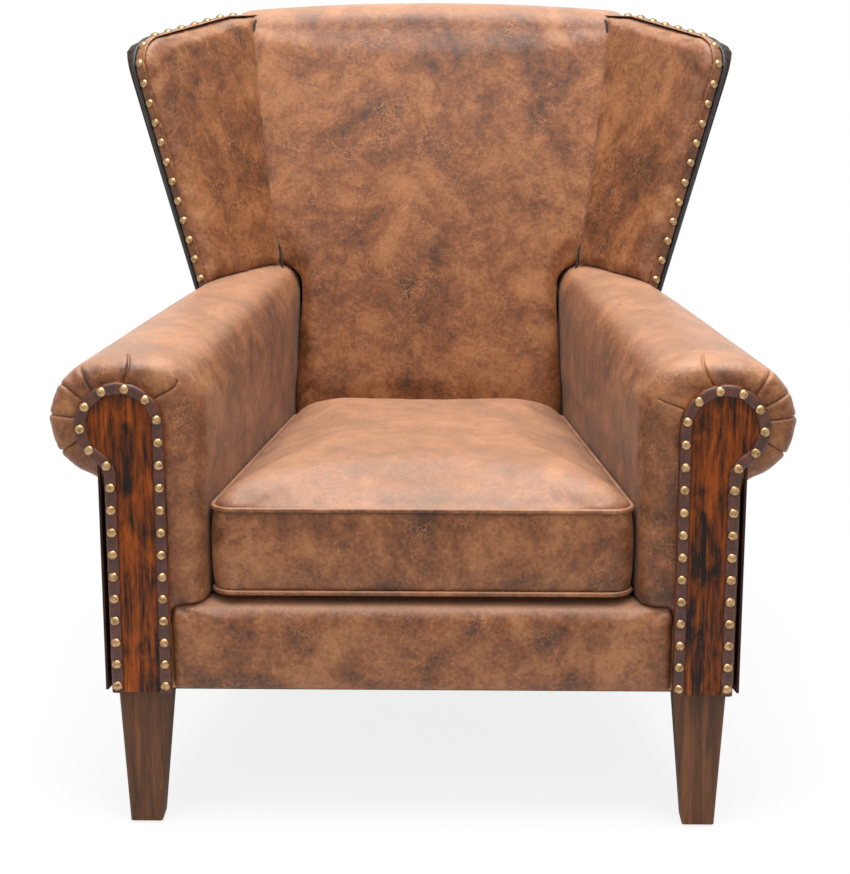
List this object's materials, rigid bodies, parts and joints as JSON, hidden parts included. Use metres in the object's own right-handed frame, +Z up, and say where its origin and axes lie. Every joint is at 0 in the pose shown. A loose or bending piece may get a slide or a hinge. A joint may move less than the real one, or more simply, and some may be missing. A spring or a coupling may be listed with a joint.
{
  "type": "wingback armchair",
  "caption": "Wing armchair with a high padded back, rolled arms faced in hide and edged with dome nails, tapered wooden legs and a loose box seat cushion.",
  "frame": {"origin": "on the floor, below the middle of the chair's width and depth", "axes": "+Z up; the sitter faces -Y; +X is the sitter's left, the right-hand side in the picture"},
  "size_m": [0.8996, 0.829, 0.993],
  "materials": {
    "tan_leather": "waxed",
    "brindle_hide": "hair on",
    "dark_hide": "hair on",
    "border_leather": "satin",
    "band_leather": "satin",
    "black_leather": "satin",
    "old_brass": "antique",
    "padding": "matt",
    "black_cloth": "matt",
    "stained_wood": "satin",
    "frame_wood": "sawn",
    "steel": "plain",
    "glide_plastic": "matt"
  },
  "bodies": {
    "chair": {"arm_board_left": "frame_wood", "arm_board_right": "frame_wood", "arm_cover_left": "tan_leather", "arm_cover_right": "tan_leather", "arm_facing_left": "brindle_hide", "arm_facing_right": "brindle_hide", "arm_nails_left": "old_brass", "arm_nails_right": "old_brass", "arm_pad_left": "padding", "arm_pad_right": "padding", "arm_stump_left": "frame_wood", "arm_stump_right": "frame_wood", "back_post_left": "frame_wood", "back_post_right": "frame_wood", "back_rail": "frame_wood", "back_tack_rail": "frame_wood", "back_webbing": "black_cloth", "corner_blocks": "frame_wood", "crest_rail": "frame_wood", "deck_cover": "black_cloth", "deck_pad": "padding", "dust_cover": "black_cloth", "facing_border_left": "border_leather", "facing_border_right": "border_leather", "front_border_cover": "tan_leather", "front_border_pad": "padding", "front_rail": "frame_wood", "glides": "glide_plastic", "inside_back_cover": "tan_leather", "inside_back_pad": "padding", "leg_bolts": "steel", "leg_front_left": "stained_wood", "leg_front_right": "stained_wood", "leg_plates": "steel", "leg_rear_left": "stained_wood", "leg_rear_right": "stained_wood", "outside_arm_left": "dark_hide", "outside_arm_right": "dark_hide", "outside_back": "dark_hide", "outside_wing_left": "dark_hide", "outside_wing_right": "dark_hide", "seat_springs": "steel", "side_rail_left": "frame_wood", "side_rail_right": "frame_wood", "spring_clips": "steel", "wing_band_left": "band_leather", "wing_band_right": "band_leather", "wing_cover_left": "tan_leather", "wing_cover_right": "tan_leather", "wing_frame_left": "frame_wood", "wing_frame_right": "frame_wood", "wing_nails_left": "old_brass", "wing_nails_right": "old_brass", "wing_pad_left": "padding", "wing_pad_right": "padding", "wing_welt_left": "black_leather", "wing_welt_right": "black_leather"},
    "seat_cushion": {"cushion_core": "padding", "cushion_cover": "tan_leather", "cushion_welts": "tan_leather"}
  },
  "joints": [
    {"name": "seat_cushion_lift", "type": "slide", "parent": "chair", "child": "seat_cushion", "axis": [0, -0.7071, 0.7071], "range_m": [0, 0.6]}
  ]
}
